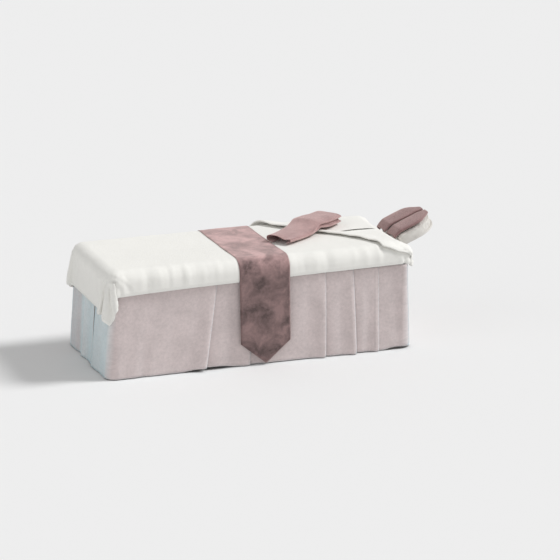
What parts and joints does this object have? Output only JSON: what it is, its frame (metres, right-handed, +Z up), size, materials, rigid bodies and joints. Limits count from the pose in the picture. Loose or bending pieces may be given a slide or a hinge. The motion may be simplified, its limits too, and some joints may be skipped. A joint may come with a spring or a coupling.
{
  "type": "facial treatment bed",
  "caption": "Flat facial treatment bed with a pleated floor-length skirt, draped duvet, pointed runner, folded towel and a padded headrest that tilts and slides at one end.",
  "frame": {"origin": "on the floor, under the middle of the whole object's bounding box", "axes": "+X along the bed to the headrest end, +Y across it to the far side, +Z up"},
  "size_m": [2.2527, 0.8292, 0.7594],
  "materials": {
    "hardwood": "satin lacquer",
    "plywood": "matte",
    "rubber_foot": "matte",
    "steel": "brushed",
    "painted_steel": "satin",
    "black_plastic": "matte",
    "tape": "woven",
    "foam": "matte",
    "vinyl": "satin",
    "skirt_velvet": "brushed velvet",
    "cream_linen": "brushed cotton",
    "rose_velvet": "crushed velvet"
  },
  "bodies": {
    "bed": {"apron_far": "hardwood", "apron_foot": "hardwood", "apron_head": "hardwood", "apron_near": "hardwood", "bed_runner": "rose_velvet", "deck_board": "plywood", "deck_end_board": "plywood", "deck_side_strips": "plywood", "duvet": "cream_linen", "face_hole_liner": "foam", "folded_towel": "rose_velvet", "joist_foot": "hardwood", "joist_head": "hardwood", "joist_middle": "hardwood", "leg_bolts": "steel", "leg_far_foot": "hardwood", "leg_far_head": "hardwood", "leg_glides": "rubber_foot", "leg_near_foot": "hardwood", "leg_near_head": "hardwood", "leg_nuts": "steel", "mattress_core": "foam", "mattress_cover": "vinyl", "skirt_far": "skirt_velvet", "skirt_foot_far": "skirt_velvet", "skirt_foot_near": "skirt_velvet", "skirt_head": "skirt_velvet", "skirt_near": "skirt_velvet", "skirt_tape": "tape", "socket_block_far": "hardwood", "socket_block_near": "hardwood", "socket_boss_far": "painted_steel", "socket_boss_near": "painted_steel", "socket_tube_far": "painted_steel", "socket_tube_near": "painted_steel", "stretcher_foot": "hardwood", "stretcher_head": "hardwood", "stretcher_middle": "hardwood", "top_sheet": "cream_linen"},
    "headrest_carriage": {"headrest_rod_near": "steel", "headrest_rod_far": "steel", "headrest_yoke": "painted_steel", "yoke_ear_near": "painted_steel", "yoke_ear_far": "painted_steel", "tilt_pin": "steel", "pin_nut": "steel"},
    "headrest": {"headrest_board": "plywood", "headrest_lug_near": "painted_steel", "headrest_lug_far": "painted_steel", "lug_screws": "steel", "friction_discs": "black_plastic", "cushion_tape": "tape", "headrest_cushion": "cream_linen", "headrest_towel": "rose_velvet"},
    "tilt_lever": {"tilt_lever": "painted_steel", "lever_ball": "black_plastic"},
    "rod_knob_near": {"rod_knob_near": "black_plastic", "rod_stud_near": "steel"},
    "rod_knob_far": {"rod_knob_far": "black_plastic", "rod_stud_far": "steel"}
  },
  "joints": [
    {"name": "headrest_slide", "type": "slide", "parent": "bed", "child": "headrest_carriage", "axis": [1, 0, 0], "range_m": [0, 0.07]},
    {"name": "headrest_tilt", "type": "hinge", "parent": "headrest_carriage", "child": "headrest", "pos_m": [0.8638, 0, 0.556], "axis": [0, -1, 0], "range_deg": [-42, 8]},
    {"name": "tilt_lever_swing", "type": "hinge", "parent": "headrest_carriage", "child": "tilt_lever", "pos_m": [0.8638, 0, 0.556], "axis": [0, 1, 0], "range_deg": [0, 45]},
    {"name": "rod_knob_near_turn", "type": "hinge", "parent": "bed", "child": "rod_knob_near", "pos_m": [0.6988, -0.108, 0.47], "axis": [0, 0, 1], "range_deg": [0, 360]},
    {"name": "rod_knob_far_turn", "type": "hinge", "parent": "bed", "child": "rod_knob_far", "pos_m": [0.6988, 0.108, 0.47], "axis": [0, 0, 1], "range_deg": [0, 360]}
  ]
}
